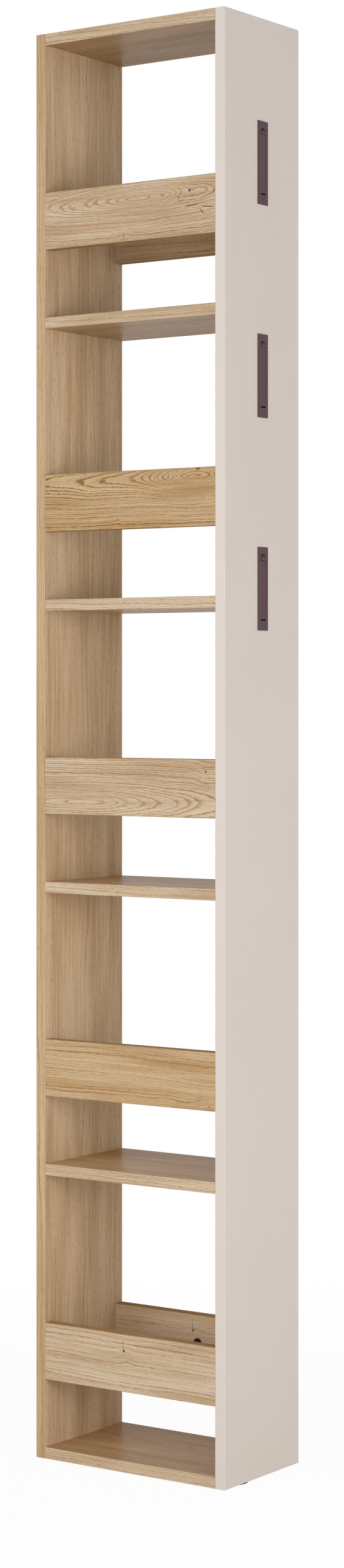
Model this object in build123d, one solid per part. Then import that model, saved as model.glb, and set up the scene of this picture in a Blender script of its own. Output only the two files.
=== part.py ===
from build123d import *
import math
import os

# Slim open pantry cabinet: two side panels, a top, a bottom and four shelves, a rail across
# each compartment, and three hooks that fold out of the painted side.
# Units are millimetres. +X points to the painted side, +Y to the wall behind, +Z up.
# The origin is on the floor, under the middle of the cabinet.

# Carcass
width, depth, height = 320, 184, 2000
board = 16  # thickness of every board
edging = 1  # thickness of the glued edge strips
edging_radius = 0.8
end_clear, inner_clear = 382, 380  # clear heights of the end and the inner compartments
rail_height, rail_lift = 80, 95  # a rail, and its lower edge above the board below it
foot_height = 5

# Joints between the boards
shelf_joints, shelf_dowels = (-32, 32), (-64, 64)  # distances from the middle of the depth
bottom_joints, bottom_dowels = (-72, 72), (0,)  # the bottom's keep clear of the feet
rail_dowels = (-24, 24)  # distances from the middle of the rail's height
play = 0.1  # radial room around parts that sit in drilled holes
cam_inset, cam_radius, cam_depth = 34, 7.4, 12.4
dowel_radius, dowel_in_panel, dowel_in_board = 4, 10, 20
screw_length, screw_head_radius, screw_shank_radius = 50, 5, 3.5
cap_radius, cap_height = 6, 1.5

# Feet
foot_inset = 30  # from the outer faces of the side panels
front_foot_radius, front_foot_setback = 22.5, 62
rear_glide_radius, rear_glide_setback = 11, 30
foot_screw_recess, foot_screw_length = 1, 15

# Wall fixing
bush_bore, bush_sleeve, bush_collar, bush_collar_height = 2.75, 4.5, 6.75, 1
bush_mouth = 5.2

# Fold-out hooks, measured from the middle of the plate on the panel's outer face
hook_drop, hook_pitch = 198.5, 292  # first plate's middle below the top, and the spacing
plate_width, plate_height, plate_proud = 24, 114.5, 1.5
case_width, case_height, case_depth, case_corner = 18, 104, 8.5, 3
case_floor = 1.5
slot_low, arm_low, arm_tip = -43.8, -42, 38.5
arm_width, arm_thickness, arm_tip_thickness, arm_taper = 12, 5, 2.5, 10.5
arm_side_gap, tip_gap = 0.2, 0.6
dish_middle, dish_radius, dish_depth = 40.5, 7.4, 4.5
pin_radius, pin_running_gap, pin_length = 1.5, 0.05, 17.6
pin_behind_face = 4
heel_toe, heel_back, heel_rise = 2.1, 3.2, 3.4
washer_radius, washer_thickness, washer_room = 2.4, 0.4, 0.6
hook_screw_offset, hook_screw_length, hook_screw_head = 20, 7.4, 2.8

# Planes that the pieces share
left, right = -width / 2, width / 2
front, back = -depth / 2, depth / 2
inner_left, inner_right = left + board, right - board
base, top = foot_height, foot_height + height
X, Y, Z = 0, 1, 2

boards, strips, fittings = {}, {}, {}


def block(low, high):
    """A box between two corners."""
    middle = [(a + b) / 2 for a, b in zip(low, high)]
    return Pos(*middle) * Box(*[b - a for a, b in zip(low, high)])


def turned(profile):
    """A solid of revolution about +Z through (radius, height) points."""
    outline = [(0, profile[0][1]), *profile, (0, profile[-1][1])]
    points = [(radius, 0, z) for radius, z in outline]
    return revolve(make_face(Polyline(*points, close=True)), Axis.Z)


def rod(radius, start, end):
    """A cylinder about +Z between two heights."""
    return turned([(radius, start), (radius, end)])


def along_x(shape):
    """Turn a shape made about +Z so that it points along +X."""
    return Rot(0, 90, 0) * shape


def along_y(shape):
    """Turn a shape made about +Z so that it points along +Y."""
    return Rot(-90, 0, 0) * shape


def rounded_strip(low, high, axis, sign):
    """An edge strip with its two long outer edges rounded."""
    strip = block(low, high)
    outward = [0, 0, 0]
    outward[axis] = sign
    outer = strip.faces().sort_by(Axis((0, 0, 0), tuple(outward)))[-1]
    return fillet(outer.edges().group_by(SortBy.LENGTH)[-1], edging_radius)


def add_board(name, low, high, banded):
    """Store a board's core, and the strips glued on its banded sides."""
    low, high = list(low), list(high)
    strips[name + "_edging"] = []
    for axis, sign in banded:
        strip_low, strip_high = list(low), list(high)
        if sign > 0:
            high[axis] -= edging
            strip_low[axis] = high[axis]
        else:
            low[axis] += edging
            strip_high[axis] = low[axis]
        strips[name + "_edging"].append(rounded_strip(strip_low, strip_high, axis, sign))
    boards[name] = block(low, high)


def fit(node, *solids):
    """Add loose solids to a node."""
    fittings.setdefault(node, []).extend(solids)


def drill(name, place, cut):
    """Take a cut away from a board."""
    boards[name] -= place * cut


# --- Joints between the boards -------------------------------------------------------------


def long_screw_profile(gap):
    """Outline of a one-piece connecting screw, or of its hole when the gap is not zero."""
    thread, point = 3.2 + gap, 1.6 + gap
    return [
        (screw_head_radius + gap, 0),
        (screw_head_radius + gap, 1.2),
        (screw_shank_radius + gap, 3),
        (screw_shank_radius + gap, board + 4),
        (thread, board + 4),
        (thread, screw_length - 4),
        (point, screw_length + gap),
    ]


def long_screw():
    """A countersunk connecting screw with a hexagon socket, head at the origin, along +X."""
    socket_depth, across_flats = 3.5, 4
    hexagon = RegularPolygon(across_flats / math.sqrt(3), 6)
    screw = turned(long_screw_profile(0)) - extrude(hexagon, socket_depth)
    return along_x(screw)


def screw_cap():
    """A domed cover cap whose stem plugs into the socket of a connecting screw."""
    stem_radius, stem_length, rim = 1.7, 2.5, 0.6
    profile = [
        (cap_radius - 1.6, -cap_height),
        (cap_radius - 0.4, -rim - 0.3),
        (cap_radius, -rim),
        (cap_radius, 0),
        (stem_radius, 0),
        (stem_radius, stem_length),
    ]
    return along_x(turned(profile))


def cam_bolt():
    """A cam bolt about the X axis: thread at +X in the panel, head at -X in the cam."""
    head_reach = cam_inset + 1.5
    profile = [
        (2.4, -11),
        (2.9, -10),
        (2.9, 0),
        (3.6, 0),
        (3.6, 1.5),
        (3.0, 1.5),
        (3.0, cam_inset - 8.5),
        (2.2, cam_inset - 7.5),
        (2.2, head_reach - 3.4),
        (3.3, head_reach - 2.6),
        (3.3, head_reach - 0.8),
        (2.0, head_reach),
    ]
    return Rot(0, -90, 0) * turned(profile)


def cam_lock():
    """A cam in its bore, open towards -Z, with a slot for the bolt and a cross recess."""
    low = -board / 2 + play
    drum = Pos(-cam_inset, 0, 0) * rod(cam_radius, low, low + cam_depth)
    slot = block((-cam_inset - 3.5, -3.7, -3.7), (-cam_inset + cam_radius, 3.7, 3.7))
    cross = Box(7, 1.4, 3) + Box(1.4, 7, 3)
    return drum - slot - Pos(-cam_inset, 0, low) * cross


def cam_bore():
    """Bore and bolt channel that a cam joint needs in a board."""
    bore = Pos(-cam_inset, 0, 0) * rod(cam_radius + play, -board / 2, cam_depth - board / 2 + 0.4)
    return bore + Rot(0, -90, 0) * rod(3.9, 0, cam_inset)


def dowel(side):
    """A chamfered dowel about X through a panel's inner face, its board on the -side of it."""
    start, end = -dowel_in_board, dowel_in_panel
    chamfer_depth = 1
    profile = [
        (dowel_radius - chamfer_depth, start),
        (dowel_radius, start + chamfer_depth),
        (dowel_radius, end - chamfer_depth),
        (dowel_radius - chamfer_depth, end),
    ]
    return Rot(0, 90 * side, 0) * turned(profile)


def dowel_hole(side):
    """The hole for a dowel, a little deeper than the dowel at both ends."""
    hole = rod(dowel_radius + play, -dowel_in_board - 1, dowel_in_panel + 1)
    return Rot(0, 90 * side, 0) * hole


def join_left(name, y, z):
    """Screw a board to the left panel from outside."""
    place = Pos(left, y, z)
    hole = along_x(turned(long_screw_profile(play)))
    drill("left_side_panel", place, hole)
    drill(name, place, hole)
    fit("connecting_screws", place * long_screw())
    fit("screw_caps", place * screw_cap())


def join_right(name, y, z, turn):
    """Hold a board to the right panel with a hidden bolt and a cam."""
    place = Pos(inner_right, y, z) * turn
    drill("right_side_panel", place, Rot(0, -90, 0) * rod(3.0, -12, 0))
    drill(name, place, cam_bore())
    fit("cam_bolts", place * cam_bolt())
    fit("cam_locks", place * cam_lock())


def add_dowel(name, y, z, side):
    """Locate a board's end on a side panel; side is +1 on the right, -1 on the left."""
    panel, x = ("right_side_panel", inner_right) if side > 0 else ("left_side_panel", inner_left)
    place = Pos(x, y, z)
    drill(panel, place, dowel_hole(side))
    drill(name, place, dowel_hole(side))
    fit("dowels", place * dowel(side))


# --- Carcass -------------------------------------------------------------------------------


def make_sides():
    """The full-height side panels, banded on all four edges."""
    banded = [(Y, -1), (Y, 1), (Z, 1), (Z, -1)]
    add_board("left_side_panel", (left, front, base), (inner_left, back, top), banded)
    add_board("right_side_panel", (inner_right, front, base), (right, back, top), banded)


def make_shelf(name, level, joints, dowels):
    """A horizontal board between the sides, with its underside at a level."""
    low, high = (inner_left, front, level), (inner_right, back, level + board)
    add_board(name, low, high, [(Y, -1), (Y, 1)])
    middle = level + board / 2
    for y in joints:
        join_left(name, y, middle)
        join_right(name, y, middle, Pos(0, 0, 0))
    for y in dowels:
        add_dowel(name, y, middle, 1)


def make_rail(name, y, level):
    """An upright rail between the sides, centred on y, with its lower edge at a level."""
    low = (inner_left, y - board / 2, level)
    high = (inner_right, y + board / 2, level + rail_height)
    add_board(name, low, high, [(Z, 1), (Z, -1)])
    middle = level + rail_height / 2
    join_left(name, y, middle)
    join_right(name, y, middle, Rot(90, 0, 0))
    for offset in rail_dowels:
        add_dowel(name, y, middle + offset, -1)
        add_dowel(name, y, middle + offset, 1)


def board_levels():
    """Undersides of the bottom, the shelves and the top, from the floor up."""
    levels = [base]
    for clear in (end_clear, inner_clear, inner_clear, inner_clear, end_clear):
        levels.append(levels[-1] + board + clear)
    return levels


def make_carcass():
    """Every board of the cabinet with its joints."""
    make_sides()
    levels = board_levels()
    make_shelf("bottom_panel", levels[0], bottom_joints, bottom_dowels)
    for name, level in zip(("shelf_1", "shelf_2", "shelf_3", "shelf_4", "top_panel"), levels[1:]):
        make_shelf(name, level, shelf_joints, shelf_dowels)
    for number, level in enumerate(levels[:-1], 1):
        make_rail(f"front_rail_{number}", front + board / 2, level + board + rail_lift)
    for name, level in (("bottom", levels[0]), ("top", levels[-2])):
        rail_level = level + board + rail_lift
        make_rail(f"back_rail_{name}", back - board / 2, rail_level)
        add_wall_bush(name, rail_level + rail_height / 2)


def add_wall_bush(name, z):
    """A collared bush through a back rail for the screw that holds the cabinet to the wall."""
    front_face = back - board
    flare = bush_mouth - bush_bore
    bush = rod(bush_collar, -bush_collar_height, 0) + rod(bush_sleeve, 0, board)
    rim = bush.edges().filter_by(GeomType.CIRCLE).group_by(Axis.Z)[0]
    bush = fillet(rim, bush_collar_height / 2)
    mouth = [(bush_mouth, -bush_collar_height), (bush_bore, flare - bush_collar_height)]
    bore = turned([*mouth, (bush_bore, board)])
    place = Pos(0, front_face, z)
    drill(f"back_rail_{name}", place, along_y(rod(bush_sleeve + play, 0, board)))
    fittings[f"wall_bush_{name}"] = [place * along_y(bush - bore)]


# --- Feet ----------------------------------------------------------------------------------


def foot(radius):
    """A round plastic foot with a softened lower rim and a recessed screw hole."""
    rim_radius, hole, head = 1.2, 2.1, 4.2
    disc = rod(radius, 0, foot_height)
    disc = fillet(disc.edges().group_by(Axis.Z)[0], rim_radius)
    recess = [(head, 0), (head, foot_screw_recess), (hole, foot_screw_recess + head - hole)]
    return disc - turned([*recess, (hole, foot_height)])


def foot_screw():
    """The countersunk screw that holds a foot, pointing up."""
    head, shank = 3.9, 1.9
    start, end = foot_screw_recess, foot_screw_recess + foot_screw_length
    profile = [(head, start), (shank, start + head - shank), (shank, end - 3), (0.4, end)]
    cross = Pos(0, 0, start) * (Box(4, 0.9, 2) + Box(0.9, 4, 2))
    return turned(profile) - cross


def make_feet():
    """Broad feet near the front and small glides near the back, screwed into the bottom."""
    rows = (
        ("front_feet", front_foot_radius, front + front_foot_setback),
        ("rear_glides", rear_glide_radius, back - rear_glide_setback),
    )
    pilot = rod(1.9 + play, foot_height, foot_height + foot_screw_length - 3)
    for node, radius, y in rows:
        for x in (left + foot_inset, right - foot_inset):
            place = Pos(x, y, 0)
            fit(node, place * foot(radius))
            fit("foot_screws", place * foot_screw())
            drill("bottom_panel", place, pilot)


# --- Hooks ---------------------------------------------------------------------------------


def rounded_case(grow, depth_behind):
    """The case behind a hook plate, or its pocket when grown, with rounded corners."""
    half_width, half_height = case_width / 2 + grow, case_height / 2 + grow
    case = block((-depth_behind, -half_width, -half_height), (0, half_width, half_height))
    return fillet(case.edges().filter_by(Axis.X), case_corner + grow)


def screw_places():
    """Where the two screws of a hook go through the floor of its case."""
    return [Pos(-case_depth + case_floor, 0, z) for z in (-hook_screw_offset, hook_screw_offset)]


def hook_plate():
    """Face plate and case in one casting, with the arm's channel and the finger dish."""
    half_width, half_height = plate_width / 2, plate_height / 2
    plate = block((0, -half_width, -half_height), (plate_proud, half_width, half_height))
    plate = chamfer(plate.faces().sort_by(Axis.X)[-1].edges(), 0.3)
    body = plate + rounded_case(0, case_depth)
    channel_top = arm_tip + tip_gap
    floor = -case_depth + case_floor
    opening, channel = arm_width / 2 + arm_side_gap, arm_width / 2 + washer_room
    body -= block((floor, -opening, slot_low), (plate_proud, opening, channel_top))
    body -= block((floor, -channel, slot_low), (0, channel, channel_top))
    ball_radius = (dish_radius**2 + dish_depth**2) / (2 * dish_depth)
    ball_x = plate_proud + ball_radius - dish_depth
    body -= Pos(ball_x, 0, dish_middle) * Sphere(ball_radius)
    body -= pin_place() * along_y(rod(pin_radius + 0.02, -pin_length / 2, pin_length / 2))
    hole = turned([(0.6, -case_floor - 1), (1.6, -case_floor), (1.6, -1.4), (3, 0), (3, 1)])
    for place in screw_places():
        body -= place * along_x(hole)
    return body


def pin_place():
    """Place of the hinge pin on the plate."""
    return Pos(plate_proud - pin_behind_face, 0, arm_low + pin_behind_face)


def hook_arm():
    """The folding arm, flush with its plate when shut, with a bored heel at the lower end."""
    face = plate_proud
    arm_back, heel_face = face - arm_thickness, face - pin_behind_face - heel_back
    pin_x, pin_z = face - pin_behind_face, arm_low + pin_behind_face
    outline = [
        (face, arm_low),
        (face, arm_tip),
        (face - arm_tip_thickness, arm_tip),
        (arm_back, arm_tip - arm_taper),
        (arm_back, pin_z + heel_rise + 3.6),
        (heel_face, pin_z + heel_rise),
        (heel_face, pin_z - heel_toe),
        (pin_x - heel_toe, arm_low),
    ]
    section = make_face(Polyline(*[(x, 0, z) for x, z in outline], close=True))
    arm = extrude(section, arm_width / 2, dir=(0, 1, 0), both=True)
    upright = arm.edges().filter_by(Axis.Z).group_by(Axis.X)[-1]
    ends = arm.edges().filter_by(Axis.Y).group_by(Axis.X)[-1]
    arm = fillet(upright + ends, 0.6)
    bore = along_y(rod(pin_radius + pin_running_gap, -arm_width, arm_width))
    return arm - pin_place() * bore


def hook_pin():
    """The hinge pin, pressed into both cheeks of the case."""
    tip = 0.3
    profile = [
        (pin_radius - tip, -pin_length / 2),
        (pin_radius, -pin_length / 2 + tip),
        (pin_radius, pin_length / 2 - tip),
        (pin_radius - tip, pin_length / 2),
    ]
    return pin_place() * along_y(turned(profile))


def hook_washers():
    """Friction washers on the pin, one each side of the arm."""
    bore = pin_radius + 0.2
    ring = rod(washer_radius, 0, washer_thickness) - rod(bore, 0, washer_thickness)
    offset = arm_width / 2 + (washer_room - washer_thickness) / 2
    far = Pos(0, offset, 0) * along_y(ring)
    near = Pos(0, -offset - washer_thickness, 0) * along_y(ring)
    return [pin_place() * near, pin_place() * far]


def hook_screw():
    """A small countersunk screw, head at the origin, driven along -X."""
    end = hook_screw_length
    profile = [(hook_screw_head, 0.1), (1.4, 1.5), (1.4, end - 2), (0.3, end)]
    cross = Box(3, 0.7, 1.8) + Box(0.7, 3, 1.8)
    return Rot(0, -90, 0) * (turned(profile) - cross)


def make_hooks():
    """Three hooks one above the other on the middle of the painted side."""
    pocket = rounded_case(0.2, case_depth + 0.2)
    pilot = Rot(0, -90, 0) * rod(1.5, 0, hook_screw_length + 0.4)
    for number, name in enumerate(("top", "middle", "bottom")):
        place = Pos(right, 0, top - hook_drop - number * hook_pitch)
        drill("right_side_panel", place, pocket)
        fittings[f"hook_plate_{name}"] = [place * hook_plate()]
        fittings[f"hook_arm_{name}"] = [place * hook_arm()]
        fittings[f"hook_pin_{name}"] = [place * hook_pin()]
        fit("hook_washers", *[place * washer for washer in hook_washers()])
        for screw_place in screw_places():
            fit("hook_screws", place * screw_place * hook_screw())
            drill("right_side_panel", place * screw_place, pilot)


def write_parts():
    """Write one file per node."""
    os.makedirs("parts", exist_ok=True)
    for name, shape in boards.items():
        export_step(shape, f"parts/{name}.step")
    for name, solids in {**strips, **fittings}.items():
        export_step(Compound(children=solids), f"parts/{name}.step")


make_carcass()
make_feet()
make_hooks()
write_parts()
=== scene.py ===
import logging
import math
from dataclasses import dataclass, replace
from enum import Enum
from typing import Any, Optional, Sequence, Union

import bpy
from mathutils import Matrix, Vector

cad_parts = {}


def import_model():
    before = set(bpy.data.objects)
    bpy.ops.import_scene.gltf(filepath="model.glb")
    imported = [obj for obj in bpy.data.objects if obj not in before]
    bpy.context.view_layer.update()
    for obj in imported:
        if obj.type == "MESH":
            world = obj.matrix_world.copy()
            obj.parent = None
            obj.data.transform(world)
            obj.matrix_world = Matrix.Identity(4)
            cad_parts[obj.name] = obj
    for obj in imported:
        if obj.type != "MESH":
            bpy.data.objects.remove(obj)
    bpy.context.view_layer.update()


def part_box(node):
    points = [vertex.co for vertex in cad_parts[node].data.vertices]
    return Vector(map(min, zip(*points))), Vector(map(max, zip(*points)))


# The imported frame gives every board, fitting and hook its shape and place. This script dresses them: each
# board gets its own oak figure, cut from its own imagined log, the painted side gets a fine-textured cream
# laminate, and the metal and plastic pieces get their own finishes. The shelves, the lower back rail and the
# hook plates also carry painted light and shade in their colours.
"""Looks of a slim open pantry cabinet with a painted side and three fold-out hooks.

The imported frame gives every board, fitting and hook its shape and place. This script dresses
them: each board gets its own oak figure, cut from its own imagined log, the painted side gets a
fine-textured cream laminate, and the metal and plastic pieces get their own finishes.
"""

log = logging.getLogger("pantry_cabinet")

MM = 0.001
Colour = tuple[float, float, float]
Socket = bpy.types.NodeSocket
Feed = Union[float, Sequence[float], Socket]


# --- Node work -----------------------------------------------------------------------------


class Bench:
    """Adds and joins the nodes of one node tree."""

    def __init__(self, tree: bpy.types.NodeTree) -> None:
        """Takes the tree to work in.

        Args:
            tree: A material's, world's or group's node tree.
        """
        self.tree = tree

    def add(self, kind: str, **settings: Any) -> bpy.types.Node:
        """Adds a node.

        Args:
            kind: The node's type name.
            **settings: Properties to set on it.

        Returns:
            The new node.
        """
        node = self.tree.nodes.new(kind)
        for name, value in settings.items():
            setattr(node, name, value)
        return node

    def feed(self, target: Socket, value: Feed) -> None:
        """Links a socket to an input, or sets the input to a number, vector or colour.

        Args:
            target: The input socket.
            value: What it gets.
        """
        if isinstance(value, bpy.types.NodeSocket):
            self.tree.links.new(value, target)
        elif target.type == "RGBA" and len(value) == 3:
            target.default_value = (*value, 1.0)
        else:
            target.default_value = value

    def maths(self, operation: str, *values: Feed, clamp: bool = False) -> Socket:
        """Adds a Math node.

        Args:
            operation: Its operation.
            *values: Its inputs in order.
            clamp: Whether the result stays within 0 and 1.

        Returns:
            The result's socket.
        """
        node = self.add("ShaderNodeMath", operation=operation, use_clamp=clamp)
        for target, value in zip(node.inputs, values):
            self.feed(target, value)
        return node.outputs[0]

    def vector(self, operation: str, *values: Feed) -> Socket:
        """Adds a Vector Math node and returns its vector.

        Args:
            operation: Its operation.
            *values: Its inputs in order.

        Returns:
            The result's socket, which is Value for a length.
        """
        node = self.add("ShaderNodeVectorMath", operation=operation)
        for target, value in zip(node.inputs, values):
            self.feed(target, value)
        return node.outputs["Value" if operation == "LENGTH" else "Vector"]

    def noise(self, place: Feed, scale: Sequence[float], detail: float = 2.0) -> bpy.types.Node:
        """Adds a noise pattern that may be stretched along an axis.

        Args:
            place: The coordinates.
            scale: Features per metre along each axis.
            detail: Octaves.

        Returns:
            The Noise Texture node.
        """
        stretched = self.vector("MULTIPLY", place, tuple(scale))
        node = self.add("ShaderNodeTexNoise", noise_dimensions="3D")
        self.feed(node.inputs["Vector"], stretched)
        node.inputs["Scale"].default_value = 1.0
        node.inputs["Detail"].default_value = detail
        return node

    def signed_noise(self, place: Feed, scale: Sequence[float], size: Feed, detail: float = 2.0) -> Socket:
        """Adds noise about zero.

        Args:
            place: The coordinates.
            scale: Features per metre along each axis.
            size: What the noise is multiplied by.
            detail: Octaves.

        Returns:
            The value's socket.
        """
        centred = self.maths("SUBTRACT", self.noise(place, scale, detail).outputs[0], 0.5)
        return self.maths("MULTIPLY", centred, size)

    def ease(self, value: Feed, start: Feed, end: Feed, low: float = 0.0, high: float = 1.0) -> Socket:
        """Maps a range smoothly onto another.

        Args:
            value: What is mapped.
            start: Where the result is low.
            end: Where the result is high.
            low: The result at start.
            high: The result at end.

        Returns:
            The result's socket.
        """
        node = self.add("ShaderNodeMapRange", interpolation_type="SMOOTHSTEP")
        for target, given in zip(node.inputs, (value, start, end, low, high)):
            self.feed(target, given)
        return node.outputs[0]

    def ramp(self, value: Socket, stops: Sequence[tuple[float, float]]) -> Socket:
        """Maps a value through a curve of grey stops.

        Args:
            value: From 0 to 1.
            stops: Position and level of each stop, in order.

        Returns:
            The level's socket.
        """
        node = self.add("ShaderNodeValToRGB")
        elements = node.color_ramp.elements
        while len(elements) < len(stops):
            elements.new(0.5)
        for element, (position, level) in zip(elements, stops):
            element.position = position
            element.color = (level, level, level, 1.0)
        self.feed(node.inputs[0], value)
        return node.outputs[0]

    def blend(self, share: Feed, low: Feed, high: Feed) -> Socket:
        """Mixes two colours.

        Args:
            share: How much of the second one shows.
            low: The first colour.
            high: The second colour.

        Returns:
            The colour's socket.
        """
        node = self.add("ShaderNodeMix", data_type="RGBA")
        self.feed(node.inputs["Factor"], share)
        self.feed(node.inputs[6], low)
        self.feed(node.inputs[7], high)
        return node.outputs[2]


@dataclass(frozen=True)
class Surface:
    """The shader settings that are the same all over a finish."""

    roughness: float = 0.5
    metallic: float = 0.0
    specular: float = 0.5
    specular_tint: Colour = (1.0, 1.0, 1.0)
    coat: float = 0.0
    coat_roughness: float = 0.1
    bump: float = 0.0
    bump_distance: float = 0.0001


def open_material(name: str, surface: Surface) -> tuple[bpy.types.Material, Bench, bpy.types.Node]:
    """Makes a material with a principled shader.

    Args:
        name: The material's name.
        surface: Its constant settings.

    Returns:
        The material, a bench for its nodes, and its shader.
    """
    material = bpy.data.materials.new(name)
    material.use_nodes = True
    shader = material.node_tree.nodes["Principled BSDF"]
    shader.inputs["Roughness"].default_value = surface.roughness
    shader.inputs["Metallic"].default_value = surface.metallic
    shader.inputs["Specular IOR Level"].default_value = surface.specular
    shader.inputs["Specular Tint"].default_value = (*surface.specular_tint, 1.0)
    shader.inputs["Coat Weight"].default_value = surface.coat
    shader.inputs["Coat Roughness"].default_value = surface.coat_roughness
    return material, Bench(material.node_tree), shader


def emboss(bench: Bench, shader: bpy.types.Node, height: Socket, surface: Surface) -> None:
    """Gives a shader its relief.

    Args:
        bench: The material's bench.
        shader: Its principled shader.
        height: The relief's height, from 0 to 1.
        surface: The finish's settings.
    """
    bump = bench.add("ShaderNodeBump")
    bump.inputs["Strength"].default_value = surface.bump
    bump.inputs["Distance"].default_value = surface.bump_distance
    bench.feed(bump.inputs["Height"], height)
    bench.feed(shader.inputs["Normal"], bump.outputs[0])


# --- Oak -----------------------------------------------------------------------------------


class Lay(Enum):
    """Which way a board lies: its grain, its face's width and its thickness, as axes."""

    SIDE = ("Z", "Y", "X")
    SIDE_EDGE = ("Z", "X", "Y")
    SHELF = ("X", "Y", "Z")
    RAIL = ("X", "Z", "Y")


@dataclass(frozen=True)
class Cut:
    """How a board's face lies in its log. Lengths are in millimetres.

    The heart of the log is heart_side across the face and heart_depth behind it. Lean and slant
    are its slopes along the board, through the thickness and across the face. Wander is how far
    the rings drift, contrast how strong their lines are, and seed picks a place in the pattern.
    """

    heart_side: float = 60.0
    heart_depth: float = 40.0
    lean: float = 0.0
    ring: float = 4.2
    wander: float = 14.0
    slant: float = 0.0
    contrast: float = 0.55
    seed: float = 0.0


@dataclass(frozen=True)
class Flaw:
    """A knot, or a crack where it is long and thin. Lengths are in millimetres.

    It lies along and across from the board's middle and is turned by degrees. Rings is how many
    rings it pushes aside, reach is how far that push is felt, and depth is how dark its core is.
    """

    along: float
    across: float
    half_length: float = 2.0
    half_width: float = 1.5
    turn: float = 0.0
    rings: float = 0.0
    reach: float = 12.0
    depth: float = 1.0


@dataclass(frozen=True)
class OakTones:
    """The colours that an oak print is made of."""

    pale: Colour = (0.612, 0.452, 0.290)
    honey: Colour = (0.470, 0.315, 0.172)
    line: Colour = (0.250, 0.130, 0.050)
    pore: Colour = (0.210, 0.112, 0.046)
    knot: Colour = (0.110, 0.045, 0.015)

    def with_painted_light(self, share: float) -> "OakTones":
        """Makes a lighter or darker copy of the same print, which paints light or shade on a board.

        Args:
            share: What every colour is multiplied by.

        Returns:
            The new tones.
        """
        print_colours = (self.pale, self.honey, self.line, self.pore, self.knot)
        return OakTones(*(tuple(c * share for c in colour) for colour in print_colours))


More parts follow.
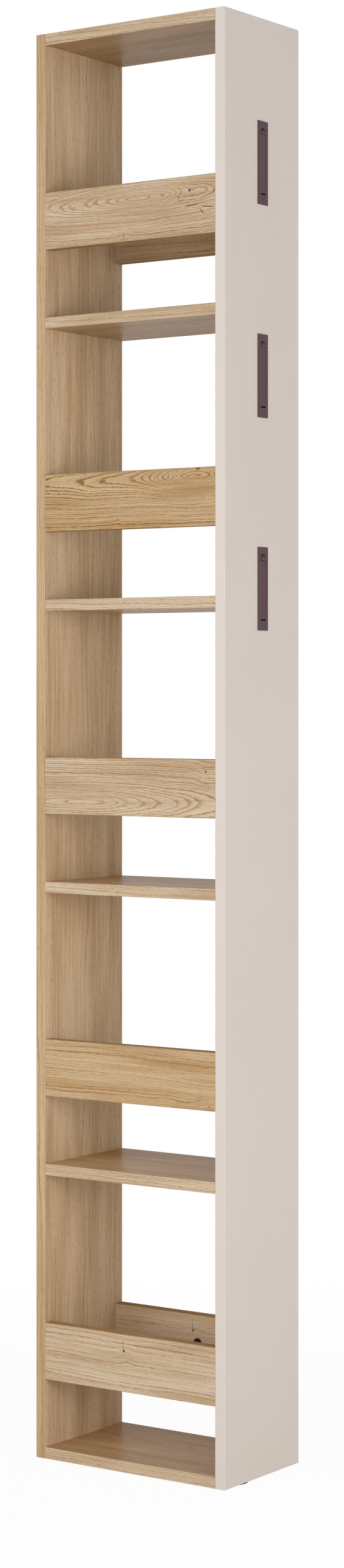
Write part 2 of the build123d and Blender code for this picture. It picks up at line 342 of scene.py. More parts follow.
class OakPress:
    """Prints oak figure: the node groups shared by all oak, and a material for each board."""

    RING_PROFILE = ((0.0, 0.1), (0.07, 1.0), (0.2, 0.85), (0.36, 0.3), (0.6, 0.08), (1.0, 0.02))

    # Features per metre, along the grain, across it and through the board
    DRIFT = (4.5, 5, 5)
    RIPPLE = (14, 26, 26)
    TOOTH = (170, 330, 330)
    BROKEN_LINE = (110, 520, 520)
    STREAKS = (9, 260, 260)
    BANDS = (3.2, 34, 34)
    PATCHES = (5, 22, 22)
    PORES = (110, 1000, 1000)
    KNOT_EDGE = (160, 160, 0)

    # How far those features push a ring line or a knot's edge aside
    RIPPLE_SIZE = 5.0 * MM
    TOOTH_SIZE = 1.5 * MM
    KNOT_EDGE_SIZE = 1.6 * MM

    # How a knot's pull on the rings is drawn out along the grain, and where its core starts and fills
    KNOT_STRETCH = (0.6, 1.0, 0.0)
    CORE_START, CORE_FULL = 1.6, 0.35

    # How often the width of the rings changes, per ring, and by how much
    PACE, UNEVENNESS = 0.55, 1.6

    # Least strength of a ring's line, of a broken stretch of it and of a faded patch of the board
    FAINTEST_RING, FAINTEST_STRETCH, FAINTEST_PATCH = 0.6, 0.55, 0.55

    # The noise levels between which a stretch, a patch and a pore come up
    STRETCH_SPAN, PATCH_SPAN, PORE_SPAN = (0.3, 0.6), (0.3, 0.65), (0.52, 0.7)

    # How far streaks and bands move the ground from pale to honey, and where it starts
    STREAK_SHARE, BAND_SHARE, HONEY_SHARE = 2.0, 3.0, 0.45

    # How dark the pores are on the ring lines and elsewhere
    PORES_ON_LINES, PORES_ELSEWHERE = 0.6, 0.16

    # How far pores and lines sink into the relief, and the roughness of smooth print and of pores
    PORE_DEPTH, LINE_DEPTH = -0.8, -0.3
    SMOOTH, PORE_ROUGHNESS = 0.34, 0.25

    # How far a cut's seed moves the board through the pattern, in metres along each axis
    SEED_STEP = (1.7, 0.9, 1.3)

    def __init__(self) -> None:
        """Makes the two node groups."""
        self.figure = self._figure_group()
        self.flaw = self._flaw_group()

    @staticmethod
    def _group(name: str, takes: dict[str, str], gives: dict[str, str]) -> tuple[Bench, Any, Any]:
        """Makes an empty node group.

        Args:
            name: The group's name.
            takes: Its inputs, by name, with their kind.
            gives: Its outputs, by name, with their kind.

        Returns:
            A bench for its nodes, its input sockets and its output node.
        """
        tree = bpy.data.node_groups.new(name, "ShaderNodeTree")
        for direction, sockets in (("INPUT", takes), ("OUTPUT", gives)):
            for title, kind in sockets.items():
                tree.interface.new_socket(title, in_out=direction, socket_type=f"NodeSocket{kind}")
        bench = Bench(tree)
        inlet, outlet = bench.add("NodeGroupInput"), bench.add("NodeGroupOutput")
        return bench, inlet.outputs, outlet

    def _flaw_group(self) -> bpy.types.NodeTree:
        """Makes the group for one knot or crack, which adds to the flaws before it.

        Returns:
            The group's tree.
        """
        takes = {"Place": "Vector", "Swirl": "Float", "Dark": "Float", "Middle": "Vector"}
        takes |= {name: "Float" for name in ("Turn", "Half Length", "Half Width", "Rings", "Reach", "Depth")}
        bench, given, outlet = self._group("Oak flaw", takes, {"Swirl": "Float", "Dark": "Float"})
        away = bench.vector("SUBTRACT", given["Place"], given["Middle"])
        flat = bench.vector("MULTIPLY", away, (1.0, 1.0, 0.0))
        squeezed = bench.vector("LENGTH", bench.vector("MULTIPLY", away, self.KNOT_STRETCH))
        share = bench.maths("DIVIDE", squeezed, given["Reach"])
        fade = bench.maths("EXPONENT", bench.maths("MULTIPLY", bench.maths("POWER", share, 2.0), -1.0))
        swirl = bench.maths("MULTIPLY_ADD", fade, given["Rings"], given["Swirl"])
        turned = bench.add("ShaderNodeVectorRotate", rotation_type="Z_AXIS")
        bench.feed(turned.inputs["Vector"], flat)
        bench.feed(turned.inputs["Angle"], given["Turn"])
        parts = bench.add("ShaderNodeSeparateXYZ")
        bench.feed(parts.inputs[0], turned.outputs[0])
        drift = bench.signed_noise(given["Place"], self.KNOT_EDGE, self.KNOT_EDGE_SIZE)
        bent = bench.maths("ADD", parts.outputs[1], drift)
        long_way = bench.maths("POWER", bench.maths("DIVIDE", parts.outputs[0], given["Half Length"]), 2.0)
        short_way = bench.maths("POWER", bench.maths("DIVIDE", bent, given["Half Width"]), 2.0)
        reach = bench.maths("ADD", long_way, short_way)
        core = bench.maths("MULTIPLY", bench.ease(reach, self.CORE_START, self.CORE_FULL), given["Depth"])
        dark = bench.maths("MAXIMUM", core, given["Dark"])
        bench.feed(outlet.inputs["Swirl"], swirl)
        bench.feed(outlet.inputs["Dark"], dark)
        return bench.tree

    def _figure_group(self) -> bpy.types.NodeTree:
        """Makes the group that cuts a face through a log's rings.

        Returns:
            The group's tree.
        """
        takes = {"Place": "Vector", "Seed": "Vector"}
        of_log = ("Heart Side", "Heart Depth", "Lean", "Ring", "Wander", "Slant")
        takes |= {name: "Float" for name in (*of_log, "Contrast", "Swirl", "Dark")}
        takes |= {name: "Color" for name in ("Pale", "Honey", "Line", "Pore", "Knot")}
        gives = {"Color": "Color", "Height": "Float", "Roughness": "Float"}
        bench, given, outlet = self._group("Oak figure", takes, gives)
        spot = bench.vector("ADD", given["Place"], given["Seed"])
        parts = bench.add("ShaderNodeSeparateXYZ")
        bench.feed(parts.inputs[0], given["Place"])
        along, across, through = parts.outputs
        rings = self._ring_count(bench, given, spot, along, across, through)
        line = self._growth_lines(bench, rings, spot)
        streaks = bench.signed_noise(spot, self.STREAKS, 1.0, 3.0)
        bands = bench.signed_noise(spot, self.BANDS, 1.0, 3.0)
        patches = bench.noise(spot, self.PATCHES, 1.0).outputs[0]
        patches = bench.ease(patches, *self.PATCH_SPAN, self.FAINTEST_PATCH, 1.0)
        pores = bench.ease(bench.noise(spot, self.PORES, 1.0).outputs[0], *self.PORE_SPAN)
        broad = bench.maths("MULTIPLY_ADD", bands, self.BAND_SHARE, self.HONEY_SHARE)
        fibre = bench.maths("MULTIPLY_ADD", streaks, self.STREAK_SHARE, broad, clamp=True)
        ground = bench.blend(fibre, given["Pale"], given["Honey"])
        bold = bench.maths("MULTIPLY", line, given["Contrast"])
        strength = bench.maths("MULTIPLY", bold, patches, clamp=True)
        lined = bench.blend(strength, ground, given["Line"])
        pitted = bench.maths("MULTIPLY_ADD", line, self.PORES_ON_LINES, self.PORES_ELSEWHERE)
        porous = bench.maths("MULTIPLY", pores, pitted)
        dotted = bench.blend(porous, lined, given["Pore"])
        bench.feed(outlet.inputs["Color"], bench.blend(given["Dark"], dotted, given["Knot"]))
        grooves = bench.maths("MULTIPLY", line, self.LINE_DEPTH)
        sunk = bench.maths("MULTIPLY_ADD", pores, self.PORE_DEPTH, grooves)
        bench.feed(outlet.inputs["Height"], bench.maths("ADD", sunk, 1.0))
        matt = bench.maths("MULTIPLY_ADD", porous, self.PORE_ROUGHNESS, self.SMOOTH)
        bench.feed(outlet.inputs["Roughness"], matt)
        return bench.tree

    def _ring_count(
        self, bench: Bench, given: Any, spot: Socket, along: Socket, across: Socket, through: Socket
    ) -> Socket:
        """Counts the growth rings between the heart of the log and a point.

        Args:
            bench: The group's bench.
            given: The group's inputs.
            spot: The seeded place.
            along: The place along the grain.
            across: The place across the face.
            through: The place through the thickness.

        Returns:
            The count's socket.
        """
        drift = bench.add("ShaderNodeSeparateColor")
        bench.feed(drift.inputs[0], bench.noise(spot, self.DRIFT, 2.0).outputs["Color"])
        shift = [bench.maths("SUBTRACT", channel, 0.5) for channel in drift.outputs[:2]]
        shift = [bench.maths("MULTIPLY", channel, given["Wander"]) for channel in shift]
        side = bench.maths("SUBTRACT", bench.maths("ADD", across, shift[0]), given["Heart Side"])
        side = bench.maths("MULTIPLY_ADD", along, given["Slant"], side)
        depth = bench.maths("ADD", bench.maths("ADD", through, shift[1]), given["Heart Depth"])
        depth = bench.maths("MULTIPLY_ADD", along, given["Lean"], depth)
        squared = bench.maths("MULTIPLY_ADD", side, side, bench.maths("MULTIPLY", depth, depth))
        radius = bench.maths("SQRT", squared)
        ripple = bench.signed_noise(spot, self.RIPPLE, self.RIPPLE_SIZE, 3.0)
        tooth = bench.signed_noise(spot, self.TOOTH, self.TOOTH_SIZE, 3.0)
        rough = bench.maths("ADD", radius, bench.maths("ADD", ripple, tooth))
        count = bench.maths("ADD", bench.maths("DIVIDE", rough, given["Ring"]), given["Swirl"])
        uneven = bench.add("ShaderNodeTexNoise", noise_dimensions="1D")
        bench.feed(uneven.inputs["W"], bench.maths("MULTIPLY", count, self.PACE))
        uneven.inputs["Scale"].default_value = 1.0
        uneven.inputs["Detail"].default_value = 1.0
        return bench.maths("MULTIPLY_ADD", uneven.outputs[0], self.UNEVENNESS, count)

    def _growth_lines(self, bench: Bench, rings: Socket, spot: Socket) -> Socket:
        """Draws a dark line at the start of each ring, each with its own strength.

        Args:
            bench: The group's bench.
            rings: The ring count.
            spot: The seeded place.

        Returns:
            The line's socket, from 0 to 1.
        """
        profile = bench.ramp(bench.maths("FRACT", rings), self.RING_PROFILE)
        own = bench.add("ShaderNodeTexWhiteNoise", noise_dimensions="1D")
        bench.feed(own.inputs["W"], bench.maths("FLOOR", rings))
        strength = bench.maths("MULTIPLY_ADD", own.outputs[0], 1.0 - self.FAINTEST_RING, self.FAINTEST_RING)
        broken = bench.noise(spot, self.BROKEN_LINE, 1.0).outputs[0]
        broken = bench.ease(broken, *self.STRETCH_SPAN, self.FAINTEST_STRETCH, 1.0)
        return bench.maths("MULTIPLY", bench.maths("MULTIPLY", profile, strength), broken)

    def material(
        self,
        name: str,
        lay: Lay,
        middle: Vector,
        cut: Cut,
        tones: OakTones,
        surface: Surface,
        flaws: Sequence[Flaw] = (),
    ) -> bpy.types.Material:
        """Prints one board's oak.

        Args:
            name: The material's name.
            lay: Which way the board lies.
            middle: The board's middle.
            cut: How its face lies in its log.
            tones: Its colours.
            surface: Its gloss and relief.
            flaws: Its knots and cracks.

        Returns:
            The material.
        """
        material, bench, shader = open_material(name, surface)
        spot = bench.add("ShaderNodeTexCoord").outputs["Object"]
        parts = bench.add("ShaderNodeSeparateXYZ")
        bench.feed(parts.inputs[0], bench.vector("SUBTRACT", spot, tuple(middle)))
        turned = bench.add("ShaderNodeCombineXYZ")
        for target, axis in zip(turned.inputs, lay.value):
            bench.feed(target, parts.outputs[axis])
        place = turned.outputs[0]
        figure = bench.add("ShaderNodeGroup", node_tree=self.figure)
        swirl: Feed = 0.0
        dark: Feed = 0.0
        for flaw in flaws:
            swirl, dark = self._add_flaw(bench, place, flaw, swirl, dark)
        given = {
            "Place": place,
            "Seed": tuple(cut.seed * step for step in self.SEED_STEP),
            "Heart Side": cut.heart_side * MM,
            "Heart Depth": cut.heart_depth * MM,
            "Lean": cut.lean,
            "Ring": cut.ring * MM,
            "Wander": cut.wander * MM,
            "Slant": cut.slant,
            "Contrast": cut.contrast,
            "Swirl": swirl,
            "Dark": dark,
            "Pale": tones.pale,
            "Honey": tones.honey,
            "Line": tones.line,
            "Pore": tones.pore,
            "Knot": tones.knot,
        }
        for title, value in given.items():
            bench.feed(figure.inputs[title], value)
        bench.feed(shader.inputs["Base Color"], figure.outputs["Color"])
        bench.feed(shader.inputs["Roughness"], figure.outputs["Roughness"])
        emboss(bench, shader, figure.outputs["Height"], surface)
        return material

    def _add_flaw(
        self, bench: Bench, place: Socket, flaw: Flaw, swirl: Feed, dark: Feed
    ) -> tuple[Socket, Socket]:
        """Adds a knot or crack to the ones before it.

        Args:
            bench: The material's bench.
            place: The board's own coordinates.
            flaw: The knot or crack.
            swirl: How far the flaws before it shift the rings.
            dark: How dark the flaws before it are.

        Returns:
            The new shift and darkness.
        """
        node = bench.add("ShaderNodeGroup", node_tree=self.flaw)
        given = {
            "Place": place,
            "Swirl": swirl,
            "Dark": dark,
            "Middle": (flaw.along * MM, flaw.across * MM, 0.0),
            "Turn": math.radians(flaw.turn),
            "Half Length": flaw.half_length * MM,
            "Half Width": flaw.half_width * MM,
            "Rings": flaw.rings,
            "Reach": flaw.reach * MM,
            "Depth": flaw.depth,
        }
        for title, value in given.items():
            bench.feed(node.inputs[title], value)
        return node.outputs["Swirl"], node.outputs["Dark"]


# --- Plain finishes ------------------------------------------------------------------------


@dataclass(frozen=True)
class Grained:
    """A plain finish with a fine texture: a pressed laminate, a powder coat or a moulding.

    Grain and mottle are features per metre. The mottle is a faint change of colour over a larger
    size, and the fleck is how strongly the fine grain shows as dark dots.
    """

    name: str
    colour: Colour
    surface: Surface
    grain: float = 900.0
    mottle: float = 40.0
    mottle_colour: Optional[Colour] = None
    mottle_share: float = 0.35
    mottle_shade: float = 0.82
    mottle_span: tuple[float, float] = (0.3, 0.7)
    stretch: tuple[float, float, float] = (1.0, 1.0, 1.0)
    fleck: float = 0.12
    fleck_shade: float = 0.6
    fleck_span: tuple[float, float] = (0.45, 0.75)
    gloss_spread: float = 0.12

    def material(self) -> bpy.types.Material:
        """Makes the finish's material.

        Returns:
            The material.
        """
        material, bench, shader = open_material(self.name, self.surface)
        place = bench.add("ShaderNodeTexCoord").outputs["Object"]
        fine = bench.noise(place, [self.grain * s for s in self.stretch], 2.0).outputs[0]
        cloud = bench.noise(place, [self.mottle * s for s in self.stretch], 3.0).outputs[0]
        second = self.mottle_colour or tuple(c * self.mottle_shade for c in self.colour)
        share = bench.maths("MULTIPLY", bench.ease(cloud, *self.mottle_span), self.mottle_share)
        ground = bench.blend(share, self.colour, second)
        dots = bench.maths("MULTIPLY", bench.ease(fine, *self.fleck_span), self.fleck)
        dark = tuple(c * self.fleck_shade for c in self.colour)
        bench.feed(shader.inputs["Base Color"], bench.blend(dots, ground, dark))
        about_zero = bench.maths("SUBTRACT", fine, 0.5)
        gloss = bench.maths("MULTIPLY_ADD", about_zero, self.gloss_spread, self.surface.roughness)
        bench.feed(shader.inputs["Roughness"], gloss)
        emboss(bench, shader, fine, self.surface)
        return material


@dataclass(frozen=True)
class PaintedShadeHookCoat:
    """A powder coat with painted shade on a hook plate's front side face, in its slot and in its finger
    dish.

    Face is where the plate's outer face lies along X, and dish is the middle of the finger dish
    along Y and Z. All that lies further below the face than the lip can get painted shade. The
    painted dish shadow and the rim are the bands over which the painted shade comes up, and
    slot_rise is the slot's upper end.
    """

    name: str
    colour: Colour
    surface: Surface
    face: float
    dish: tuple[float, float]
    half_width: float
    slot_rise: float = -81.5 * MM
    slot_blend: float = 1.0 * MM
    painted_dish_shadow: tuple[float, float] = (2.5 * MM, 5.5 * MM)
    rim: tuple[float, float] = (0.6 * MM, 0.2 * MM)
    # How dark the painted shade is, as a share of the coat's colour
    shade: float = 0.15
    lip: float = 0.25 * MM
    grain: float = 2600.0
    mottle: float = 45.0
    mottle_share: float = 0.5
    mottle_shade: float = 0.85
    gloss_spread: float = 0.12

    def material(self) -> bpy.types.Material:
        """Makes the coat's material.

        Returns:
            The material.
        """
        material, bench, shader = open_material(self.name, self.surface)
        place = bench.add("ShaderNodeTexCoord").outputs["Object"]
        parts = bench.add("ShaderNodeSeparateXYZ")
        bench.feed(parts.inputs[0], place)
        # Painted shade falls only on what lies below the plate's outer face
        sunk = bench.ease(bench.maths("SUBTRACT", self.face, parts.outputs[0]), self.lip, 4 * self.lip)
        sideways = bench.maths("SUBTRACT", self.dish[0], parts.outputs[1])
        upward = bench.maths("SUBTRACT", parts.outputs[2], self.dish[1])
        lean = bench.maths("ADD", sideways, upward)
        # Painted shadow in the finger dish: a band towards its top and front, as if cast by the dish's edge
        painted_dish_shadow = bench.ease(lean, *self.painted_dish_shadow)
        # Painted shade on the plate's front side face
        rim = bench.ease(sideways, *(self.half_width - inset for inset in self.rim))
        # Painted shade in the slot below the arm
        slot = bench.ease(upward, self.slot_rise + self.slot_blend, self.slot_rise)
        painted_shade_mask = bench.maths("MAXIMUM", bench.maths("MAXIMUM", painted_dish_shadow, rim), slot)
        dark = bench.maths("MULTIPLY", sunk, painted_shade_mask)
        fine = bench.noise(place, [self.grain] * 3, 2.0).outputs[0]
        cloud = bench.noise(place, [self.mottle] * 3, 3.0).outputs[0]
        second = tuple(c * self.mottle_shade for c in self.colour)
        ground = bench.blend(bench.maths("MULTIPLY", cloud, self.mottle_share), self.colour, second)
        painted_shade_colour = tuple(c * self.shade for c in self.colour)
        # The coat turns towards its painted shade colour wherever painted shade falls
        bench.feed(shader.inputs["Base Color"], bench.blend(dark, ground, painted_shade_colour))
        about_zero = bench.maths("SUBTRACT", fine, 0.5)
        gloss = bench.maths("MULTIPLY_ADD", about_zero, self.gloss_spread, self.surface.roughness)
        bench.feed(shader.inputs["Roughness"], gloss)
        emboss(bench, shader, fine, self.surface)
        return material


# --- Studio --------------------------------------------------------------------------------


@dataclass(frozen=True)
class Lamp:
    """A square soft light that looks at the cabinet. Its size is in metres, its power in watts."""

    name: str
    place: tuple[float, float, float]
    size: float
    power: float


@dataclass
class Studio:
    """Camera, pale floor, soft light and backdrop.

    Places are in metres and the camera's heading in degrees. The lift is the floor's own light,
    and the glow is how far the camera sees the floor as plain white.
    """

    camera_place: tuple[float, float, float] = (2.4745, -3.519, 1.0755)
    camera_heading: float = 35.02
    lens: float = 70.47
    drop: float = -0.0561
    floor_radius: float = 1.6
    floor_colour: Colour = (0.86, 0.86, 0.86)
    floor_mottle: float = 0.6
    floor_mottle_shade: float = 0.97
    floor_lift: float = 0.2
    floor_glow: float = 0.94
    floor_fade: tuple[float, float] = (0.35, 0.98)
    far_clip: float = 200.0
    surround_band: tuple[float, float] = (0.3, 0.85)
    surround_level: float = 0.8
    surround_far: float = 0.08
    aim: tuple[float, float, float] = (0.0, 0.0, 1.0)
    lamps: tuple[Lamp, ...] = (
        Lamp("key_light", (-1.9, -3.2, 1.9), 2.2, 40.5),
        Lamp("side_light", (3.0, -1.2, 1.1), 1.2, 35.0),
        Lamp("fill_light", (2.6, -2.6, 1.1), 1.6, 14.0),
        Lamp("low_light", (0.3, -2.6, 0.5), 1.0, 5.0),
    )

    def set_up(self) -> None:
        """Sets the whole studio up."""
        bpy.context.scene.view_settings.view_transform = "Standard"
        self._camera()
        self._floor()
        self._backdrop()
        for lamp in self.lamps:
            self._lamp(lamp)
        log.info("studio: camera, floor, backdrop and %d lamps", len(self.lamps))

    def _camera(self) -> None:
        """Places the level camera."""
        bpy.ops.object.camera_add(
            location=self.camera_place, rotation=(math.pi / 2, 0.0, math.radians(self.camera_heading))
        )
        camera = bpy.context.object
        camera.data.lens = self.lens
        camera.data.shift_y = self.drop
        camera.data.clip_end = self.far_clip
        bpy.context.scene.camera = camera

    def _floor(self) -> None:
        """Lays a pale round floor that melts into the backdrop away from the cabinet."""
        bpy.ops.mesh.primitive_circle_add(vertices=128, radius=self.floor_radius, fill_type="NGON")
        floor = bpy.context.object
        floor.name = "studio_floor"
        material, bench, shader = open_material("pale_floor", Surface(roughness=0.9, specular=0.1))
        place = bench.add("ShaderNodeTexCoord").outputs["Object"]
        cloud = bench.noise(place, [self.floor_mottle] * 3).outputs[0]
        dimmer = tuple(c * self.floor_mottle_shade for c in self.floor_colour)
        bench.feed(shader.inputs["Base Color"], bench.blend(cloud, self.floor_colour, dimmer))
        shader.inputs["Emission Color"].default_value = (1.0, 1.0, 1.0, 1.0)
        shader.inputs["Emission Strength"].default_value = self.floor_lift
        edges = [self.floor_radius * share for share in self.floor_fade]
        fade = bench.ease(bench.vector("LENGTH", place), *edges)
        clear = bench.add("ShaderNodeBsdfTransparent")
        glow = bench.add("ShaderNodeEmission")
        glow.inputs["Strength"].default_value = 1.0
        seen = bench.add("ShaderNodeMixShader")
        watched = bench.add("ShaderNodeLightPath").outputs["Is Camera Ray"]
        bench.feed(seen.inputs[0], bench.maths("MULTIPLY", watched, self.floor_glow))
        bench.feed(seen.inputs[1], shader.outputs[0])
        bench.feed(seen.inputs[2], glow.outputs[0])
        join = bench.add("ShaderNodeMixShader")
        bench.feed(join.inputs[0], fade)
        bench.feed(join.inputs[1], seen.outputs[0])
        bench.feed(join.inputs[2], clear.outputs[0])
        bench.feed(material.node_tree.nodes["Material Output"].inputs["Surface"], join.outputs[0])
        floor.data.materials.append(material)

    def _backdrop(self) -> None:
        """Shows white all round, and lights more from the sides than from above and below."""
        world = bpy.data.worlds.new("white_surround")
        bpy.context.scene.world = world
        world.use_nodes = True
        bench = Bench(world.node_tree)
        parts = bench.add("ShaderNodeSeparateXYZ")
        bench.feed(parts.inputs[0], bench.add("ShaderNodeTexCoord").outputs["Generated"])
        height = bench.maths("ABSOLUTE", parts.outputs[2])
        level = bench.ease(height, *self.surround_band, self.surround_level, self.surround_far)
        background = world.node_tree.nodes["Background"]
        background.inputs["Color"].default_value = (1.0, 1.0, 1.0, 1.0)
        bench.feed(background.inputs["Strength"], level)
        seen = bench.add("ShaderNodeBackground")
        seen.inputs["Color"].default_value = (1.0, 1.0, 1.0, 1.0)
        join = bench.add("ShaderNodeMixShader")
        bench.feed(join.inputs[0], bench.add("ShaderNodeLightPath").outputs["Is Camera Ray"])
        bench.feed(join.inputs[1], background.outputs[0])
        bench.feed(join.inputs[2], seen.outputs[0])
        bench.feed(world.node_tree.nodes["World Output"].inputs["Surface"], join.outputs[0])

    def _lamp(self, lamp: Lamp) -> None:
        """Hangs one lamp and turns it to the cabinet.

        Args:
            lamp: The lamp.
        """
        bpy.ops.object.light_add(type="AREA", location=lamp.place)
        light = bpy.context.object
        light.name = lamp.name
        light.data.size = lamp.size
        light.data.energy = lamp.power
        light.rotation_euler = (Vector(self.aim) - light.location).to_track_quat("-Z", "Y").to_euler()


# --- Cabinet -------------------------------------------------------------------------------


def dress(node: str, material: bpy.types.Material) -> None:
    """Gives a frame node one material all over.

    Args:
        node: The node's name.
        material: The material.
    """
    piece = bpy.data.objects[node]
    piece.data.materials.clear()
    piece.data.materials.append(material)
    log.info("%s: %s", node, material.name)


def middle_of(node: str) -> Vector:
    """Finds the middle of a frame node's box.

    Args:
        node: The node's name.

    Returns:
        The middle.
    """
    low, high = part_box(node)
    return (low + high) / 2


@dataclass(frozen=True)
class OakBoard:
    """One oak board: its lie, its cut, its flaws and its colours."""

    node: str
    lay: Lay
    cut: Cut
    flaws: tuple[Flaw, ...] = ()
    tones: OakTones = OakTones()


class Carcass:
    """The boards, their edge strips and their fittings."""

    laminate = Surface(specular=0.07, specular_tint=(1.0, 0.68, 0.42), bump=0.25, bump_distance=0.12 * MM)
    strip = Surface(specular=0.0, bump=0.25, bump_distance=0.1 * MM)
    light_oak = OakTones(
        (0.630, 0.507, 0.368), (0.490, 0.352, 0.218), (0.330, 0.180, 0.072), (0.260, 0.145, 0.062)
    )
    # The shelves' print, partly painted: its warmer, darker tones also stand in for the warm light that the
    # oak around the shelves throws on them
    shelf_oak_with_painted_bounce = OakTones(
        (0.610, 0.405, 0.220), (0.475, 0.283, 0.128), (0.250, 0.115, 0.038), (0.210, 0.100, 0.036)
    )
    strip_oak = OakTones(
        (0.590, 0.430, 0.270), (0.480, 0.320, 0.178), (0.340, 0.190, 0.080), (0.260, 0.145, 0.062)
    )
    golden_oak = OakTones(
        (0.570, 0.418, 0.250), (0.425, 0.262, 0.118), (0.275, 0.128, 0.030), (0.230, 0.108, 0.030)
    )
    strip_cut = Cut(60, 12, 0.01, 2.3, 8, 0.006, 0.85, 20)
    strip_lays = {Lay.SIDE: Lay.SIDE_EDGE, Lay.SHELF: Lay.RAIL, Lay.RAIL: Lay.SHELF}
    strip_tones = {Lay.SIDE: strip_oak, Lay.SHELF: light_oak, Lay.RAIL: golden_oak}

    boards: tuple[OakBoard, ...] = (
        OakBoard("left_side_panel", Lay.SIDE, Cut(150, 90, 0.01, 3.7, 40, 0.0, 0.35, 1.1)),
        OakBoard("bottom_panel", Lay.SHELF, Cut(20, 26, 0.05, 3.1, 22, 0.0, 0.75, 2.3), tones=shelf_oak_with_painted_bounce),
        # Painted light and shade: shelf_1 and shelf_2 are lighter copies of the shelf print, and shelf_4 and
        # the top darker ones, by how the light falls on them
        OakBoard(
            "shelf_1", Lay.SHELF, Cut(30, 30, 0.06, 3.1, 22, 0.0, 0.75, 3.7), tones=shelf_oak_with_painted_bounce.with_painted_light(1.12)
        ),
        OakBoard(
            "shelf_2", Lay.SHELF, Cut(-10, 40, -0.05, 3.1, 22, 0.0, 0.75, 4.1), tones=shelf_oak_with_painted_bounce.with_painted_light(1.05)
        ),
        OakBoard("shelf_3", Lay.SHELF, Cut(60, 34, 0.04, 3.1, 22, 0.0, 0.75, 5.9), tones=shelf_oak_with_painted_bounce),
        OakBoard(
            "shelf_4", Lay.SHELF, Cut(-20, 30, 0.05, 3.1, 22, 0.0, 0.75, 6.4), tones=shelf_oak_with_painted_bounce.with_painted_light(0.9)
        ),
        OakBoard(
            "top_panel", Lay.SHELF, Cut(10, 36, -0.04, 3.1, 22, 0.0, 0.75, 7.2), tones=shelf_oak_with_painted_bounce.with_painted_light(0.85)
        ),
        OakBoard(
            "front_rail_1",
            Lay.RAIL,
            Cut(150, 60, 0.02, 2.8, 20, 0.02, 1.1, 8.6),
            (
                Flaw(-8, 17, 1.8, 1.8, rings=1.6, reach=9),
                Flaw(-9, 25, 5.5, 0.7, turn=82, depth=0.5),
                Flaw(-2, 2, 1.4, 1.0, rings=1.0, reach=6, depth=0.6),
            ),
            light_oak,
        ),
        OakBoard(
            "front_rail_2",
            Lay.RAIL,
            Cut(130, 70, 0.02, 2.6, 14, 0.03, 0.95, 9.2),
            (
                Flaw(135, -34, 2.4, 2.0, rings=5.0, reach=16, depth=0.3),
                Flaw(66, -27, rings=1.6, reach=14, depth=0.0),
            ),
            golden_oak,
        ),
        OakBoard(
            "front_rail_3",
            Lay.RAIL,
            Cut(-22, 17, 0.13, 2.9, 13, 0.0, 1.6, 10.8),
            (
                Flaw(129, 23, 1.8, 1.4, rings=1.8, reach=12, depth=0.85),
                Flaw(129, 8, 1.0, 0.8, rings=0.8, reach=6, depth=0.6),
            ),
            light_oak,
        ),
        OakBoard(
            "front_rail_4",
            Lay.RAIL,
            Cut(28, 15, -0.075, 2.8, 10, 0.0, 1.75, 11.4),
            (
                Flaw(116, 38, 3.4, 1.6, rings=-8.0, reach=36, depth=0.9),
                Flaw(-18, -27, 1.0, 1.8, rings=1.0, reach=7, depth=0.7),
            ),
            golden_oak,
        ),
        OakBoard(
            "front_rail_5",
            Lay.RAIL,
            Cut(17, 9.5, -0.125, 2.2, 9, 0.0, 1.5, 12.9),
            (
                Flaw(102, 20, 1.9, 1.7, rings=1.2, reach=9, depth=1.0),
                Flaw(84, 12, 1.6, 2.0, rings=1.6, reach=9, depth=0.6),
                Flaw(-95, 13, 5.0, 3.0, depth=0.22),
                Flaw(-8, -32, 1.0, 4.0, turn=-10, rings=1.0, reach=8, depth=0.4),
                Flaw(106, 0, 11.0, 0.8, turn=-6, depth=1.0),
                Flaw(132, -4, 11.0, 0.7, turn=8, depth=0.95),
                Flaw(122, -9, 6.0, 0.7, turn=50, depth=0.85),
            ),
            light_oak,
        ),
        OakBoard(
            "back_rail_bottom",
            Lay.RAIL,
            Cut(140, 60, 0.02, 2.8, 20, 0.02, 0.6, 8.6),
            (
                Flaw(-8, 17, 1.8, 1.8, rings=1.6, reach=9),
                Flaw(-9, 25, 5.5, 0.7, turn=82, depth=0.5),
            ),
            # A lighter copy of the print: painted light on this rail, which lies in shade behind the front
            # rail
            light_oak.with_painted_light(1.15),
        ),
        OakBoard("back_rail_top", Lay.RAIL, Cut(-120, 60, 0.03, 2.8, 18, 0.0, 1.0, 14.7)),
    )

    def __init__(self, press: OakPress) -> None:
        """Takes the oak press.

        Args:
            press: What prints the oak.
        """
        self.press = press

    def dress_boards(self) -> None:
        """Gives every oak board and its strips their own figure."""
        for board in self.boards:
            middle = middle_of(board.node)
            face = self.press.material(
                f"oak_{board.node}", board.lay, middle, board.cut, board.tones, self.laminate, board.flaws
            )
            dress(board.node, face)
            self._dress_strips(board, middle)

    def _dress_strips(self, board: OakBoard, middle: Vector) -> None:
        """Gives a board's edge strips their figure.

        Args:
            board: The board.
            middle: The board's middle.
        """
        heart, seed = self.strip_cut.heart_side + board.cut.seed, self.strip_cut.seed + board.cut.seed
        cut = replace(self.strip_cut, heart_side=heart, seed=seed)
        lay, tones = self.strip_lays[board.lay], self.strip_tones[board.lay]
        material = self.press.material(f"oak_strip_{board.node}", lay, middle, cut, tones, self.strip)
        dress(f"{board.node}_edging", material)

    def dress_painted_side(self) -> None:
        """Gives the painted side its cream laminate and strips."""
        cream = Grained(
            "cream_laminate",
            (0.643, 0.563, 0.503),
            Surface(roughness=0.46, specular=0.4, bump=0.35, bump_distance=0.12 * MM),
            grain=700.0,
            mottle=9.0,
            mottle_share=0.12,
            fleck=0.05,
        )
        strip = Grained(
            "cream_strip",
            (0.655, 0.582, 0.524),
            Surface(roughness=0.42, specular=0.4, bump=0.2, bump_distance=0.08 * MM),
            grain=1100.0,
            mottle=14.0,
            mottle_share=0.1,
            fleck=0.03,
        )
        dress("right_side_panel", cream.material())
        dress("right_side_panel_edging", strip.material())

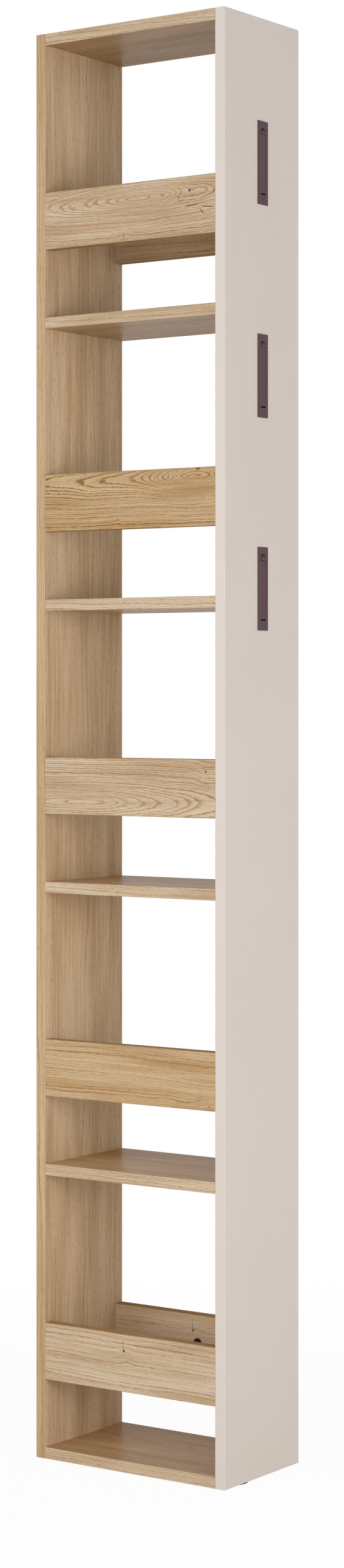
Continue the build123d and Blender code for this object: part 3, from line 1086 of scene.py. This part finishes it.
    def dress_fittings(self) -> None:
        """Gives screws, cams, dowels and caps their finishes."""
        plated = Grained(
            "bright_zinc_plate",
            (0.62, 0.62, 0.63),
            Surface(roughness=0.3, metallic=1.0, bump=0.1, bump_distance=0.05 * MM),
            mottle=300.0,
        ).material()
        cast = Grained(
            "cast_zinc",
            (0.50, 0.50, 0.51),
            Surface(roughness=0.45, metallic=1.0, bump=0.3, bump_distance=0.1 * MM),
            mottle=250.0,
        ).material()
        cap = Grained(
            "oak_tone_cap",
            (0.50, 0.34, 0.18),
            Surface(roughness=0.5, bump=0.2, bump_distance=0.06 * MM),
            mottle=120.0,
            mottle_colour=(0.42, 0.27, 0.13),
            stretch=(1.0, 1.0, 0.12),
        ).material()
        beech = Grained(
            "raw_beech",
            (0.62, 0.45, 0.29),
            Surface(roughness=0.7, bump=0.3, bump_distance=0.1 * MM),
            mottle=200.0,
            stretch=(0.1, 1.0, 1.0),
        ).material()
        for node in ("connecting_screws", "cam_bolts", "foot_screws"):
            dress(node, plated)
        dress("cam_locks", cast)
        dress("screw_caps", cap)
        dress("dowels", beech)


class FloorAndWallFittings:
    """The feet, the glides and the wall bushes."""

    feet = ("front_feet", "rear_glides")
    bushes = ("wall_bush_bottom", "wall_bush_top")

    def dress(self) -> None:
        """Gives the feet and bushes their black plastics."""
        matt = Grained(
            "black_foot_plastic",
            (0.010, 0.010, 0.011),
            Surface(roughness=0.5, specular=0.12, bump=0.3, bump_distance=0.08 * MM),
            mottle=60.0,
        ).material()
        gloss = Grained(
            "black_bush_plastic",
            (0.014, 0.015, 0.018),
            Surface(roughness=0.16, coat=0.4, coat_roughness=0.08, bump=0.05, bump_distance=0.05 * MM),
            mottle=80.0,
        ).material()
        for node in self.feet:
            dress(node, matt)
        for node in self.bushes:
            dress(node, gloss)


class Hooks:
    """The three fold-out hooks."""

    names = ("top", "middle", "bottom")
    bronze = (0.086, 0.037, 0.045)
    dish_rise = 40.5 * MM

    def dress(self) -> None:
        """Gives the hooks their bronze coat, with painted shade on each plate's front side face, slot and
        finger dish, and their pins, screws and washers their finishes.
        """
        matt = Surface(roughness=0.48, specular=0.4, bump=0.25, bump_distance=0.06 * MM)
        bronze = Grained(
            "dark_bronze_coat", self.bronze, matt, grain=2600.0, mottle=45.0, mottle_share=0.2, fleck=0.1
        ).material()
        steel = Grained(
            "pin_steel",
            (0.58, 0.58, 0.60),
            Surface(roughness=0.28, metallic=1.0, bump=0.1, bump_distance=0.03 * MM),
            mottle=400.0,
        ).material()
        nylon = Grained(
            "natural_nylon",
            (0.70, 0.68, 0.62),
            Surface(roughness=0.5, bump=0.1, bump_distance=0.03 * MM),
            mottle=200.0,
        ).material()
        for name in self.names:
            low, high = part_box(f"hook_plate_{name}")
            dish = ((low.y + high.y) / 2, (low.z + high.z) / 2 + self.dish_rise)
            half_width = (high.y - low.y) / 2
            # Each plate's coat carries painted shade on its front side face, in its slot and as a painted
            # shadow in its finger dish
            coat = PaintedShadeHookCoat(f"dark_bronze_coat_{name}", self.bronze, matt, high.x, dish, half_width)
            dress(f"hook_plate_{name}", coat.material())
            dress(f"hook_arm_{name}", bronze)
            dress(f"hook_pin_{name}", steel)
        dress("hook_screws", steel)
        dress("hook_washers", nylon)


def main() -> None:
    """Dresses the cabinet and sets up the studio."""
    logging.basicConfig(level=logging.INFO, format="%(name)s: %(message)s")
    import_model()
    Studio().set_up()
    carcass = Carcass(OakPress())
    carcass.dress_boards()
    carcass.dress_painted_side()
    carcass.dress_fittings()
    FloorAndWallFittings().dress()
    Hooks().dress()


if __name__ == "__main__":
    main()
